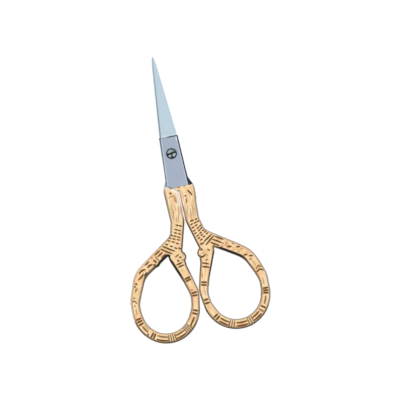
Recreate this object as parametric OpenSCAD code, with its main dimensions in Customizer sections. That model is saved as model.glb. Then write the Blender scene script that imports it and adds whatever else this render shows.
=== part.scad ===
// Ornamental embroidery scissors with plated handles, closed and lying flat.
//
// X runs across, Y towards the tips and Z up. The pivot's axis is the Z axis, and z = 0 is the face
// that the scissors lie on. Each half is one forging: a steel blade and heel, and a handle that is
// gold plated up to a line across the heel. The heels are half as thick as the handles, so that they
// lap, and each half's shoulder stops the other. The two halves are alike: the front half has its
// handle on the right, and the back half is the front half turned over about the Y axis.

/* [Blades] */
// Distance from the pivot to the tips
blade_len = 35; // [30:0.5:42]
// Distance from the pivot to the step where the ground blade starts
step_y = 6.2; // [5.4:0.1:8]
// From the centreline to the blade's back, at the step
back_x = 3.1; // [2.8:0.05:3.5]
// From the centreline to the cutting edge, at the step
edge_x = 3.2; // [2.8:0.05:3.3]
// From the centreline to the blade's back, at the tip
tip_x = 0.25; // [0.2:0.05:0.5]
// From the centreline to the cutting edge, where the tip's round starts
belly_x = 0.95; // [0.8:0.05:1.4]
// Length of the round that takes the cutting edge in to the tip
tip_round = 4; // [3:0.1:6]
// Thickness of a blade along its back, at the step
back_t = 1.3; // [1.1:0.05:1.4]
// Thickness of a blade along its edge, at the step
edge_t = 0.4; // [0.3:0.05:0.6]
// Thickness of a blade at its tip
tip_t = 0.5; // [0.4:0.05:0.7]
// Width of the chamfer along the blade's back, at the step
back_chamfer = 0.6; // [0.3:0.05:0.9]
// Width of the bevel that makes the cutting edge
edge_bevel = 0.3; // [0.15:0.05:0.5]

/* [Heels] */
// Thickness of each half where the two lap
lap_t = 1.6; // [1.5:0.05:2]
// Gap in which the two halves ride on each other
ride_gap = 0.05; // [0.02:0.01:0.1]
// From the centreline to the heel's side below the blade's back, at the shoulder
heel_back_x = 4.15; // [4:0.05:4.3]
// From the centreline to the heel's side below the cutting edge, at the step
heel_top_x = 3.4; // [3.3:0.05:3.7]
// From the centreline to the same side, where it starts to flare
heel_x = 4; // [3.8:0.05:4.1]
// Distance below the pivot where that side starts to flare
flare_y = 9; // [8.4:0.1:9.6]
// From the centreline to the flare's lower end, at the plating line
flare_x = 5.4; // [5.2:0.05:5.6]
// Distance below the pivot of the line where the gold plating starts
plating_y = 12; // [11.7:0.1:12.6]
// Distance below the pivot where the shoulder meets the side of the other half's heel
shoulder_y = 10.8; // [10.4:0.1:11.2]
// Slant of the shoulder, in degrees
shoulder_slant = 34; // [28:1:38]
// Gap between a shoulder and the other half's heel, closed
shoulder_gap = 0.12; // [0.08:0.01:0.3]
// Width of the chamfers along the heel's sides
heel_chamfer = 0.35; // [0.2:0.05:0.5]
// Width of the facet that is ground on the flare
flare_facet = 1.3; // [0.8:0.05:1.5]
// Length over which the step slopes down to the ground blade
step_run = 0.4; // [0.2:0.05:0.8]

/* [Shanks] */
// Slit between the two shanks, closed
slit = 0.3; // [0.2:0.05:0.5]
// From the centreline to a shank's outer side, at its widest
shank_top_x = 5.55; // [5.4:0.05:5.9]
// Distance below the pivot where the shank is widest
shank_top_y = 13.2; // [12.8:0.1:14]
// From the centreline to a shank's outer side, where the sweep starts
shank_x = 5.15; // [4.9:0.05:5.4]
// Distance below the pivot where the two shanks part
parting_y = 24.2; // [23:0.1:26]
// Radius of the rounded edges of shanks and bows
edge_round = 1.2; // [0.9:0.05:1.4]

/* [Palm] */
// Width of the strand that sweeps from the shank out to the arm, at its top
sweep_w = 4.4; // [4:0.1:4.6]
// Radius of the sweep's outer edge
sweep_r = 6.4; // [5:0.1:8]
// Slope of the arm's outer edge, in degrees
arm_slope = 34.6; // [32:0.2:37]
// Width of the arm at its root
arm_w = 4.9; // [4.6:0.1:5.4]
// From the centreline to the notch above the head
notch_x = 2.75; // [2.5:0.05:3]
// Distance below the pivot of the notch
notch_y = 33.7; // [33:0.1:34.2]
// Width of the palm at the notch
palm_w = 4.8; // [4.2:0.1:5.4]
// From the centreline to the middle of the head
head_x = 3.7; // [3.5:0.05:4]
// Distance below the pivot of the head
head_y = 36.5; // [36.1:0.1:36.9]
// Radius of the head
head_r = 1.8; // [1.6:0.05:1.95]
// From the centreline to the root of the bow's inner strand
root_x = 5.9; // [5.6:0.05:6.2]
// Distance below the pivot of that root
root_y = 36.4; // [36:0.1:37]
// Width of the inner strand at its root
root_w = 4.8; // [4.4:0.1:5.2]
// From the centreline to the bend where that strand meets the bow
bend_x = 3; // [2.7:0.05:3.3]
// Distance below the pivot of that bend
bend_y = 45; // [44:0.1:46]
// Width of the inner strand at that bend
bend_w = 3.8; // [3.4:0.1:4.4]

/* [Finger bows] */
// Gap between the two bows, closed
bow_gap = 0.15; // [0.1:0.05:0.5]
// Radius of a bow at its middle
mid_r = 12.4; // [11.5:0.05:13]
// Distance below the pivot of the middle's centre
mid_y = 50.15; // [49:0.05:51]
// Radius of a bow at its foot
foot_r = 12.1; // [11:0.05:12.4]
// Distance below the pivot of the foot's centre
foot_y = 53.8; // [53:0.1:58]
// From the middle's centre out to the foot's centre
foot_out = 0.25; // [0:0.05:0.5]
// Radius of a bow at its shoulder
brow_r = 11.4; // [11:0.05:12]
// Distance below the pivot of the shoulder's centre
brow_y = 46.6; // [46:0.1:47.2]
// From the middle's centre in to the shoulder's centre
brow_in = 0.2; // [0:0.05:0.6]
// Radius of the finger hole at its middle
hole_mid_r = 9.15; // [8.5:0.05:9.5]
// Distance below the pivot of the hole's middle
hole_mid_y = 51.9; // [51:0.1:52.5]
// Radius of the finger hole at its foot
hole_foot_r = 8.6; // [8:0.05:9]
// Distance below the pivot of the centre of the hole's foot
hole_foot_y = 53.7; // [53:0.1:57.5]
// Radius of the finger hole at its shoulder
hole_brow_r = 7.3; // [6.8:0.05:7.6]
// Distance below the pivot of the centre of the hole's shoulder
hole_brow_y = 46.75; // [46:0.05:47.4]

/* [Pivot screw] */
// Diameter of the screw's shank
screw_d = 2; // [1.6:0.1:2.4]
// Diameter of the screw's head
head_d = 3.1; // [2.8:0.05:3.6]
// Depth of the recess for the head
recess_depth = 0.8; // [0.6:0.05:1]
// Height of the head's edge above the floor of its recess
head_h = 0.6; // [0.4:0.05:0.9]
// Height of the head's crown above its edge
crown = 0.4; // [0.2:0.05:0.5]
// Width of the screwdriver slot
slot_w = 0.45; // [0.3:0.05:0.6]
// Depth of the screwdriver slot, from the crown
slot_depth = 0.55; // [0.3:0.05:0.7]
// Turn of the slot from straight across, in degrees
slot_turn = 9; // [0:1:90]
// Gap all round the head in its recess
head_gap = 0.25; // [0.1:0.05:0.3]
// Running clearance round the shank, and under the head
running_gap = 0.05; // [0.03:0.01:0.1]
// Width of the chamfer round the recess
recess_chamfer = 0.25; // [0.1:0.05:0.3]

/* [Hidden] */
$fn = 64;

STEEL = "lightsteelblue";
GOLD = "burlywood";
SCREW = "slategray";

// Sides of the head, of a round pad at a corner, and of one that lies inside a strand
HEAD_FN = 24;
PAD_FN = 16;
STRAND_FN = 8;
// Turn between two corners on the round of an edge, in degrees
EDGE_STEP = 30;
// Turn between two stations on the bow's strand, in degrees
BOW_STEP = 5;
// The angle that the strand faces where the bow runs into the inner strand
INNER_SIDE = -190;
// Turn between two stations on the sweep, in degrees
SWEEP_STEP = 7;
// Slopes of the blade's back chamfer and of the flare's facet, in degrees
BACK_SLOPE = 40;
FLARE_SLOPE = 40;
// Reach of a cutting block, past anything that it cuts
REACH = 60;
// How far a cut runs past a face
PAST = 1;
// How far the plated end of the heel runs in past the corners of the shank's flat face
HEEL_REACH = 0.3;

total_t = 2 * lap_t + ride_gap;
// Height of the flat side on which the front half rides
lap_z = lap_t + ride_gap;
recess_floor = total_t - recess_depth;

step_back = [-back_x, step_y];
step_edge = [edge_x, step_y];
belly = [belly_x, blade_len - tip_round];

// The bow's outline and its finger hole are each drawn tight round these circles
bow_x = bow_gap / 2 + mid_r;
bow_rounds = [
    [[bow_x, -mid_y], mid_r],
    [[bow_x + foot_out, -foot_y], foot_r],
    [[bow_x - brow_in, -brow_y], brow_r]
];
hole_rounds = [
    [[bow_x, -hole_mid_y], hole_mid_r],
    [[bow_x + foot_out, -hole_foot_y], hole_foot_r],
    [[bow_x - brow_in, -hole_brow_y], hole_brow_r]
];

function toward(angle) = [cos(angle), sin(angle)];
// A side's bearing and rise, from its start to its end
function bearing(a, b) = atan2(b[1] - a[1], b[0] - a[0]);
function rise(a, b) = atan2(b[2] - a[2], norm([b[0] - a[0], b[1] - a[1]]));

// The shoulder is the slanted line at which the handle's full thickness starts: y from x
function shoulder_at(x) = -shoulder_y - (heel_back_x - x) * tan(shoulder_slant);
// The flare is the heel's outer side, down to the plating line: x from y
function flare_at(y) = heel_x + (flare_x - heel_x) * (-flare_y - y) / (plating_y - flare_y);
// The face that is ground on a blade falls from its back to its edge, and towards the tip
ground_across = (edge_t - back_t) / (back_x + edge_x);
ground_along = (tip_t - back_t - back_x * ground_across) / (blade_len - step_y);
function ground_at(x, y) = back_t + (x + back_x) * ground_across + (y - step_y) * ground_along;

// Where the heel's slanted lower side crosses the plating line
heel_corner_x = heel_back_x - (plating_y - shoulder_y + shoulder_gap) / tan(shoulder_slant);

// Where a straightedge held square to the angle touches the outline drawn round some circles
function touch(rounds, angle) =
    let (reaches = [for (r = rounds) r[0] * toward(angle) + r[1]])
    let (round = rounds[search(max(reaches), reaches)[0]])
    round[0] + round[1] * toward(angle);

// A station on the bow's strand: its middle, its radius and the way that it faces
function bow_station(angle) =
    let (outer = touch(bow_rounds, angle), inner = touch(hole_rounds, angle))
    [(outer + inner) / 2, (outer - inner) * toward(angle) / 2, angle];

// The arm's outer edge faces this way, and lies this far from the pivot
arm_faces = 90 - arm_slope;
arm_reach = touch(bow_rounds, arm_faces) * toward(arm_faces);
// The sweep's centre lies beside the shank, and as far outside the arm's edge
sweep_x = shank_x + sweep_r;
sweep_centre = [
    sweep_x,
    (arm_reach + sweep_r - sweep_x * cos(arm_faces)) / sin(arm_faces)
];

// The outer strand: down the sweep, along the arm and round the bow, up to the inner side
sweep_stations = [
    for (turn = [0 : SWEEP_STEP : arm_faces])
        let (radius = (sweep_w + (arm_w - sweep_w) * turn / arm_faces) / 2)
        [sweep_centre + (sweep_r + radius) * toward(180 + turn), radius, turn]
];
bow_stations = [for (angle = [arm_faces : -BOW_STEP : INNER_SIDE]) bow_station(angle)];
outer_stations = concat(sweep_stations, bow_stations);

// The inner strand: down the shank's inner side and the notch, and from the root to the bow
notch_station = [[notch_x + palm_w / 2, -notch_y], palm_w / 2, 0];
root_station = [[root_x, -root_y], root_w / 2, 0];
bend_station = [[bend_x, -bend_y], bend_w / 2, 0];
parting_station = [[(slit / 2 + shank_x) / 2, -parting_y], (shank_x - slit / 2) / 2, 0];
inner_stations = [
    parting_station,
    notch_station,
    root_station,
    bend_station,
    bow_stations[len(bow_stations) - 1]
];

// Turns the front half over into the back half
module turn_over() {
    translate([0, 0, total_t]) rotate([0, 180, 0]) children();
}

// Everything above a face that holds the line from a to b and falls away on the line's right
module above_slope(a, b, slope) {
    translate(a)
        rotate([0, -rise(a, b), bearing(a, b)])
            rotate([slope, 0, 0])
                translate([-PAST, -REACH / 2, 0])
                    cube([norm(b - a) + 2 * PAST, REACH, REACH]);
}

// Outline of the ground blade, with its cutting edge on the right
module blade_outline() {
    along = (belly - step_edge) / norm(belly - step_edge);
    inward = [-along[1], along[0]];
    to_tip = [tip_x, blade_len] - belly;
    round_r = norm(to_tip) * norm(to_tip) / (2 * to_tip * inward);
    intersection() {
        polygon([
            [-back_x, step_y - PAST],
            step_back,
            [-tip_x, blade_len],
            [tip_x, blade_len],
            belly + along * tip_round,
            step_edge,
            [edge_x, step_y - PAST]
        ]);
        union() {
            translate(belly + round_r * inward) circle(r = round_r);
            translate([-REACH / 2, 0]) square([REACH, belly[1]]);
        }
    }
}

// Everything above the face that is ground on the blade
module above_ground_face() {
    across = atan(-ground_across);
    translate([0, step_y, ground_at(0, step_y)])
        rotate([atan(ground_along * cos(across)), across, 0])
            translate([-REACH / 2, -2 * PAST, 0])
                cube([REACH, REACH, REACH]);
}

module ground_blade() {
    chamfer_x = back_chamfer - back_x;
    difference() {
        linear_extrude(lap_t) blade_outline();
        above_ground_face();
        above_slope(
            [0, blade_len, ground_at(0, blade_len)],
            [chamfer_x, step_y, ground_at(chamfer_x, step_y)],
            BACK_SLOPE
        );
        above_slope(
            [edge_x, step_y, 0],
            [belly_x, belly[1], 0],
            atan(edge_t / edge_bevel)
        );
    }
}

module above_flare_facet() {
    above_slope(
        [flare_x - flare_facet, -plating_y, lap_t],
        [heel_x - heel_chamfer, -flare_y, lap_t],
        FLARE_SLOPE
    );
}

// The part of a half that laps the other, from the step down to the plating line
module heel() {
    difference() {
        linear_extrude(lap_t)
            polygon([
                step_back,
                [-heel_back_x, -shoulder_y + shoulder_gap],
                [-heel_corner_x, -plating_y],
                [flare_x, -plating_y],
                [heel_x, -flare_y],
                [heel_top_x, step_y]
            ]);
        above_slope(
            [heel_chamfer - back_x, step_y, lap_t],
            [heel_chamfer - heel_back_x, -shoulder_y, lap_t],
            45
        );
        above_slope(
            [heel_x - heel_chamfer, -flare_y, lap_t],
            [heel_top_x - heel_chamfer, step_y, lap_t],
            45
        );
        above_flare_facet();
        above_slope(
            [heel_x, step_y - step_run, lap_t],
            [-heel_x, step_y - step_run, lap_t],
            atan((lap_t - edge_t) / step_run)
        );
    }
}

// A round pad as thick as the handle, with rounded edges. One corner faces the way of its station.
module pad(station, sides = PAD_FN) {
    flat_r = station[1] - edge_round;
    translate([station[0][0], station[0][1], 0])
        rotate(station[2])
            rotate_extrude($fn = sides)
                polygon(concat(
                    flat_r > 0 ? [[0, total_t], [0, 0]] : [],
                    [for (a = [-90 : EDGE_STEP : 0]) edge_round * [cos(a), 1 + sin(a)] + [flat_r, 0]],
                    [for (a = [0 : EDGE_STEP : 90]) edge_round * [cos(a), sin(a) - 1] + [flat_r, total_t]]
                ));
}

module strand(stations, sides = PAD_FN) {
    for (i = [0 : len(stations) - 2])
        hull() {
            pad(stations[i], sides);
            pad(stations[i + 1], sides);
        }
}

// The shank's upper end, under its slanted shoulder. Its corners are rounded like its edges.
shoulder_drop = edge_round / cos(shoulder_slant);
inner_corner_x = slit / 2 + edge_round;
inner_corner = [inner_corner_x, shoulder_at(inner_corner_x) - shoulder_drop];
// Where the shoulder's line, moved in by the round, meets the flare's line, moved in as well
flare_run = (flare_x - heel_x) / (plating_y - flare_y);
flare_in = edge_round * norm([1, flare_run]);
outer_corner_y = (shoulder_at(heel_x - flare_run * flare_y - flare_in) - shoulder_drop)
    / (1 + flare_run * tan(shoulder_slant));
outer_corner = [flare_at(outer_corner_y) - flare_in, outer_corner_y];
widest = [shank_top_x - edge_round, -shank_top_y];

module shank() {
    hull() {
        for (corner = [inner_corner, outer_corner, widest])
            pad([corner, edge_round, 0]);
        pad(parting_station);
        pad(sweep_stations[0]);
    }
}

// One half's handle and full thickness, with its front face flush with the heel's
module handle_forging() {
    shank();
    strand(outer_stations, STRAND_FN);
    strand(inner_stations);
    hull() {
        pad(notch_station);
        pad(root_station);
        pad(sweep_stations[len(sweep_stations) - 1]);
    }
    pad([[head_x, -head_y], head_r, 0], HEAD_FN);
}

// The space above the plating line, which is steel
module steel_side() {
    translate([-REACH / 2, -plating_y, -PAST]) cube([REACH, REACH, total_t + 2 * PAST]);
}

// The plated end of the heel, which runs over the other half as far as its shoulder. It reaches in
// past the shank's corners, so that the front face is flat from the heel to the shank.
module heel_end() {
    translate([0, 0, lap_z])
        linear_extrude(lap_t)
            polygon([
                [-heel_corner_x, -plating_y],
                [-slit, shoulder_at(slit) + shoulder_gap],
                inner_corner + [HEEL_REACH, -HEEL_REACH],
                outer_corner - [HEEL_REACH, HEEL_REACH],
                [outer_corner[0] - HEEL_REACH, -plating_y]
            ]);
}

module half_steel() {
    translate([0, 0, lap_z]) {
        ground_blade();
        heel();
    }
    difference() {
        intersection() {
            shank();
            steel_side();
        }
        translate([0, 0, lap_z]) above_flare_facet();
    }
}

module half_plated() {
    difference() {
        handle_forging();
        steel_side();
    }
    heel_end();
}

module front_blade() {
    recess_r = head_d / 2 + head_gap;
    color(STEEL)
        difference() {
            half_steel();
            translate([0, 0, lap_z - PAST])
                cylinder(r = screw_d / 2 + running_gap, h = lap_t + 2 * PAST);
            translate([0, 0, recess_floor])
                cylinder(r = recess_r, h = recess_depth + PAST);
            translate([0, 0, total_t - recess_chamfer])
                cylinder(r1 = recess_r, r2 = recess_r + 2 * recess_chamfer, h = 2 * recess_chamfer);
        }
}

module back_blade() {
    color(STEEL)
        difference() {
            turn_over() half_steel();
            translate([0, 0, -PAST]) cylinder(d = screw_d, h = lap_t + 2 * PAST);
        }
}

module front_handle() {
    color(GOLD) half_plated();
}

module back_handle() {
    color(GOLD) turn_over() half_plated();
}

module pivot_screw() {
    head_z = recess_floor + running_gap;
    edge_z = recess_floor + head_h;
    crown_r = (head_d * head_d / 4 + crown * crown) / (2 * crown);
    color(SCREW)
        difference() {
            union() {
                cylinder(d = screw_d, h = edge_z);
                intersection() {
                    translate([0, 0, head_z]) cylinder(d = head_d, h = head_h + crown);
                    translate([0, 0, edge_z + crown - crown_r]) sphere(r = crown_r);
                }
            }
            translate([0, 0, edge_z + crown])
                rotate(slot_turn)
                    translate([-head_d, -slot_w / 2, -slot_depth])
                        cube([2 * head_d, slot_w, slot_depth + PAST]);
        }
}

back_blade();
back_handle();
front_blade();
front_handle();
pivot_screw();
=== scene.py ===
# %% [markdown]
# # Ornamental embroidery scissors
# A small pair of forged scissors lies on a white table and is seen from straight above. The blades and the
# lapped heel are ground steel. The handles are gold plated and engraved, and end in two finger bows. The
# frame is that of the CAD model: the origin is on the pivot screw's axis, on the table. Lengths are written
# in millimetres, and MM turns them into metres. THICKNESS is that of the heel and the handles when the pair
# is shut. This lesson loads the CAD model, lights it, and gives it the surfaces that a goldsmith and a
# grinder leave.

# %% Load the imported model
import math

import bmesh
import bpy
import numpy as np
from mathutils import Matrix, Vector
from mathutils.kdtree import KDTree


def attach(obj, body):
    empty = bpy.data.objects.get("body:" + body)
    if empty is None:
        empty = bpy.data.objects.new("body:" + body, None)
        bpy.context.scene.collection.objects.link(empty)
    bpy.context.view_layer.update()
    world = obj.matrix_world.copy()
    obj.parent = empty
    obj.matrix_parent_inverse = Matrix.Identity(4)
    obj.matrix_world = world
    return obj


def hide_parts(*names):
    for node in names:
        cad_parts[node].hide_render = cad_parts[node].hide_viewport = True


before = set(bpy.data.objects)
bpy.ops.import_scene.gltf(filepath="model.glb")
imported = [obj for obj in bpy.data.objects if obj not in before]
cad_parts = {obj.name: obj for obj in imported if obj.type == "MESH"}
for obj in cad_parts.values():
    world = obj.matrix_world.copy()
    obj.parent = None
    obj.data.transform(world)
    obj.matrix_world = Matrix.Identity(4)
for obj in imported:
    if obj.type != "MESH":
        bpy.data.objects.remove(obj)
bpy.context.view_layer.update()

MM = 0.001
THICKNESS = 3.25

# %% [markdown]
# ## Camera
# The photograph looks straight down, and the scissors lean 11.25 degrees to the left in it. A long lens 600
# mm away gives the flat perspective of a catalogue picture, and turning the camera leans the scissors.

# %% Camera
PICTURE_CENTRE = Vector((6.70, -18.10))
PICTURE_WIDTH = 142.0
CAMERA_HEIGHT = 600.0
LEAN = math.radians(11.25)

camera_data = bpy.data.cameras.new("camera")
camera_data.lens = camera_data.sensor_width * CAMERA_HEIGHT / PICTURE_WIDTH
camera = bpy.data.objects.new("camera", camera_data)
camera.location = Vector((*PICTURE_CENTRE, CAMERA_HEIGHT + THICKNESS)) * MM
camera.rotation_euler = (0, 0, -LEAN)
bpy.context.collection.objects.link(camera)
bpy.context.scene.camera = camera
bpy.context.scene.view_settings.view_transform = "Standard"
picture_up = Vector((math.sin(LEAN), math.cos(LEAN), 0))
print("lens", round(camera_data.lens, 1), "mm")

# %% [markdown]
# ## Shader maths as expressions
# A pattern such as a brushed line or a worn edge is arithmetic on sockets, and a node for each sum is hard to
# read. The small class below wraps a socket, so that `1 - mask` or `noise * 0.3` adds the Math node for
# itself. Every other node comes from its one method `node`, which takes the type, the settings and the
# inputs.

# %% A socket that does arithmetic
class SocketMaths:
    """An output socket in a node tree. Its operators add Math nodes."""

    def __init__(self, tree, socket=None):
        self.tree = tree
        self.socket = socket

    def node(self, kind, settings=None, inputs=None, output=0):
        """Adds a node, sets its settings, then its inputs, and gives one of its outputs."""
        made = self.tree.nodes.new(kind)
        for name, value in (settings or {}).items():
            if name == "stops":
                self.set_stops(made.color_ramp, value)
            else:
                setattr(made, name, value)
        for name, value in (inputs or {}).items():
            if isinstance(value, SocketMaths):
                self.tree.links.new(value.socket, made.inputs[name])
            else:
                made.inputs[name].default_value = value
        return SocketMaths(self.tree, made.outputs[output])

    def set_stops(self, ramp, stops):
        while len(ramp.elements) < len(stops):
            ramp.elements.new(1.0)
        for element, (position, colour) in zip(ramp.elements, stops):
            element.position = position
            element.color = (*colour, 1)

    def maths(self, operation, first, second=0.0, clamp=False):
        settings = {"operation": operation, "use_clamp": clamp}
        return self.node("ShaderNodeMath", settings, {0: first, 1: second})

    def __add__(self, other):
        return self.maths("ADD", self, other)

    def __radd__(self, other):
        return self.maths("ADD", other, self)

    def __sub__(self, other):
        return self.maths("SUBTRACT", self, other)

    def __rsub__(self, other):
        return self.maths("SUBTRACT", other, self)

    def __mul__(self, other):
        return self.maths("MULTIPLY", self, other)

    def __rmul__(self, other):
        return self.maths("MULTIPLY", other, self)

    def __abs__(self):
        return self.maths("ABSOLUTE", self)

    def larger(self, other):
        return self.maths("MAXIMUM", self, other)

    def clamped(self):
        return self.maths("ADD", self, 0.0, clamp=True)

    def step(self, low, high):
        """0 below low, 1 above high and a smooth rise between. With high below low it falls instead."""
        if low > high:
            return 1 - self.step(high, low)
        settings = {"interpolation_type": "SMOOTHSTEP"}
        return self.node("ShaderNodeMapRange", settings, {"Value": self, "From Min": low, "From Max": high})


def blend(mask, first, second):
    """One colour where the mask is 0 and the other where it is 1."""
    return mask.node("ShaderNodeMix", {"data_type": "RGBA"}, {0: mask, 6: first, 7: second}, output=2)


def colour(red, green, blue):
    return (red, green, blue, 1.0)


def new_material(name):
    """A material with its own shader, and a SocketMaths to build the rest from."""
    material = bpy.data.materials.new(name)
    material.use_nodes = True
    tree = material.node_tree
    shader = tree.nodes["Principled BSDF"]
    return material, shader, SocketMaths(tree)


def connect(shader, values):
    """Links or sets the named sockets of a shader."""
    for name, value in values.items():
        if isinstance(value, SocketMaths):
            value.tree.links.new(value.socket, shader.inputs[name])
        else:
            shader.inputs[name].default_value = value


# %% [markdown]
# ## White table
# The scissors lie on white paper. It could be a bright diffuse floor, but then its own light would wash out
# the metal's underside. So the paper is grey to the light that falls on it, and glows white only to the
# camera, to a reflection and to glass. It keeps the soft shadow, because the grey part still catches the
# lamp.

# %% Small helpers for new objects
def link(name, mesh):
    thing = bpy.data.objects.new(name, mesh)
    bpy.context.collection.objects.link(thing)
    return thing


def mesh_from(bm, name):
    mesh = bpy.data.meshes.new(name)
    bm.to_mesh(mesh)
    bm.free()
    return mesh


def seen_by(maker, *rays):
    """1 for what these kinds of ray see, and 0 for the light that falls on things."""
    path = maker.tree.nodes.new("ShaderNodeLightPath")
    first, *others = (SocketMaths(maker.tree, path.outputs[f"Is {ray} Ray"]) for ray in rays)
    return sum(others, first).clamped()


# %% White table
TABLE_REACH = 3.0
TABLE_DROP = 0.02
BLACK = colour(0, 0, 0)
PAPER = colour(0.96, 0.96, 0.96)

bm = bmesh.new()
bmesh.ops.create_grid(bm, x_segments=1, y_segments=1, size=TABLE_REACH)
bmesh.ops.translate(bm, vec=(0, 0, -TABLE_DROP * MM), verts=bm.verts)
table = link("table", mesh_from(bm, "table"))
material, shader, maker = new_material("white table")
connect(shader, {
    "Base Color": colour(0.10, 0.10, 0.10),
    "Roughness": 0.9,
    "Specular IOR Level": 0.0,
    "Emission Color": blend(seen_by(maker, "Camera", "Glossy", "Transmission"), BLACK, PAPER),
    "Emission Strength": 1.0,
})
table.data.materials.append(material)
print("table", 2 * TABLE_REACH, "m wide")

# %% [markdown]
# ## White tent with cards
# Catalogue pictures of metal are taken in a white tent with cards beside it. The tent makes flat metal
# bright, and the cards put soft lines along its edges that show its form. They stand all round, and are
# highest and darkest towards the bottom of the picture. The camera itself sees plain white everywhere.

# %% White tent with cards
CARD_TOP = 0.54
CARD_TILT = 0.26
CARD_EDGE = 0.1
TENT_LIGHT = 0.7
WHITE = colour(1, 1, 1)

picture_right = Vector((math.cos(LEAN), -math.sin(LEAN), 0))
tent = bpy.data.worlds.new("white tent")
bpy.context.scene.world = tent
tent.use_nodes = True
maker = SocketMaths(tent.node_tree)
direction = maker.node("ShaderNodeTexCoord", output="Generated")


def toward(axis):
    """From -1 to 1, how far a ray runs along an axis."""
    settings = {"operation": "DOT_PRODUCT"}
    return maker.node("ShaderNodeVectorMath", settings, {0: direction, 1: tuple(axis)}, output="Value")


up_side = toward(picture_up)
height = toward(Vector((0, 0, 1)))
card = maker.node("ShaderNodeValToRGB", {"stops": (
    (0.0, (0.16, 0.15, 0.14)),
    (0.28, (0.18, 0.17, 0.16)),
    (0.5, (0.28, 0.29, 0.30)),
    (0.72, (0.53, 0.54, 0.55)),
    (0.9, (0.83, 0.83, 0.84)),
    (1.0, (0.94, 0.94, 0.94)),
)}, {0: up_side * 0.5 + 0.5})
above_card = (height - (CARD_TOP - up_side * CARD_TILT)).step(-CARD_EDGE, CARD_EDGE)
tone = blend(above_card, card, WHITE)
tone = blend(seen_by(maker, "Camera"), tone, WHITE)
seen = seen_by(maker, "Camera", "Glossy", "Transmission")
connect(tent.node_tree.nodes["Background"], {"Color": tone, "Strength": TENT_LIGHT + seen * (1 - TENT_LIGHT)})
print(len(tent.node_tree.nodes), "nodes in the tent")

# %% [markdown]
# ## Window lamp
# One large lamp stands beyond the top of the picture, as a window would, so that edges have a lit and a
# shaded side. It is hidden from reflections. The blades are flat mirrors, and when the scissors open they
# would show the lamp itself and burn out to white. The tent gives them enough to reflect.

# %% Window lamp
LAMP_DISTANCE = 0.9
LAMP_HEIGHT = math.radians(52)

lamp_data = bpy.data.lights.new("window lamp", "AREA")
lamp_data.shape = "RECTANGLE"
lamp_data.size = 0.8
lamp_data.size_y = 0.5
lamp_data.energy = 2.6
lamp = bpy.data.objects.new("window lamp", lamp_data)
lamp.visible_glossy = False
towards_lamp = picture_up * math.cos(LAMP_HEIGHT) + Vector((0, 0, math.sin(LAMP_HEIGHT)))
lamp.location = towards_lamp * LAMP_DISTANCE
lamp.rotation_mode = "QUATERNION"
lamp.rotation_quaternion = towards_lamp.to_track_quat("Z", "Y")
bpy.context.collection.objects.link(lamp)
print("lamp at", [round(value, 3) for value in lamp.location])

# %% [markdown]
# ## Handles: a forging to engrave
# Each handle is a die forging: soft edges, no corners, and an even skin. Subdividing the CAD mesh would keep
# its long triangles. A voxel remesh gives an even skin of small faces instead, and a smoothing modifier
# rounds the edges as the die and the polishing wheel do. All this is done in millimetres, on a copy, and
# turned into metres at the end.

# %% Copy a CAD node in millimetres
def millimetre_copy(node, name):
    """A new object with the node's mesh, its loose triangles merged, in millimetres for easy measuring."""
    bm = bmesh.new()
    bm.from_mesh(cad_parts[node].data)
    bmesh.ops.remove_doubles(bm, verts=bm.verts, dist=1e-7)
    bmesh.ops.scale(bm, vec=(1 / MM,) * 3, verts=bm.verts)
    return link(name, mesh_from(bm, name))


def apply_modifiers(thing):
    shape = bpy.data.meshes.new_from_object(thing.evaluated_get(bpy.context.evaluated_depsgraph_get()))
    thing.modifiers.clear()
    thing.data = shape


right_handle = millimetre_copy("front_handle", "right_handle")
left_handle = millimetre_copy("back_handle", "left_handle")
print(len(right_handle.data.vertices), "points in the CAD mesh of the right handle")

# %% Read and move the points of a skin
def read_points(thing):
    flat = np.empty(len(thing.data.vertices) * 3)
    thing.data.vertices.foreach_get("co", flat)
    return flat.reshape(-1, 3)


def read_normals(thing):
    flat = np.empty(len(thing.data.vertices) * 3)
    thing.data.vertex_normals.foreach_get("vector", flat)
    return flat.reshape(-1, 3)


def write_points(thing, points):
    thing.data.vertices.foreach_set("co", points.ravel())
    thing.data.update()


# %% [markdown]
# ## Taps
# The two CAD halves are one forging turned over, but the real bows were trued by hand and aren't quite alike.
# A tap pushes the skin sideways by a third of a millimetre or less, and at one leaf by half a millimetre. It
# pushes most along a short line and less around it, before the softening. A tap is written as the line's two
# ends, the shift, and how far it is felt.

# %% Taps
RIGHT_TAPS = (
    ((24.0, -50.0), (24.0, -54.0), (0.2, 0.0), 7.0),
    ((16.0, -36.5), (16.0, -36.5), (0.08, 0.20), 6.0),
    ((2.9, -38.5), (2.9, -38.5), (-0.35, -0.10), 0.9),
    ((2.1, -35.5), (2.1, -35.5), (0.25, 0.0), 1.0),
    ((0.3, -14.2), (0.3, -20.0), (-0.14, 0.0), 0.9),
    ((-2.0, -12.2), (-0.6, -13.1), (-0.04, -0.06), 0.5),
    ((5.3, -13.4), (5.3, -16.5), (0.18, 0.0), 1.1),
)
LEFT_TAPS = (
    ((-22.8, -45.0), (-22.8, -45.0), (0.34, -0.16), 5.5),
    ((-15.0, -64.5), (-11.0, -64.5), (0.0, -0.24), 6.0),
    ((-2.8, -38.6), (-2.8, -38.6), (0.35, -0.15), 0.9),
    ((-1.9, -35.6), (-1.9, -35.6), (-0.15, 0.0), 0.8),
    ((-0.3, -14.2), (-1.0, -21.0), (-0.14, 0.0), 0.9),
    ((-12.6, -37.7), (-12.6, -37.7), (0.1, -0.5), 0.8),
)

def tap(points, start, end, shift, reach):
    """Pushes the points near a line sideways. Beyond the reach hardly anything moves."""
    start, along = np.array(start), np.subtract(end, start)
    offset = points[:, :2] - start
    part = np.clip(offset @ along / max(along @ along, 1e-6), 0, 1)
    away = np.hypot(*(offset - part[:, None] * along).T)
    points[:, :2] += np.exp(-(away / reach) ** 2)[:, None] * shift


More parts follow.
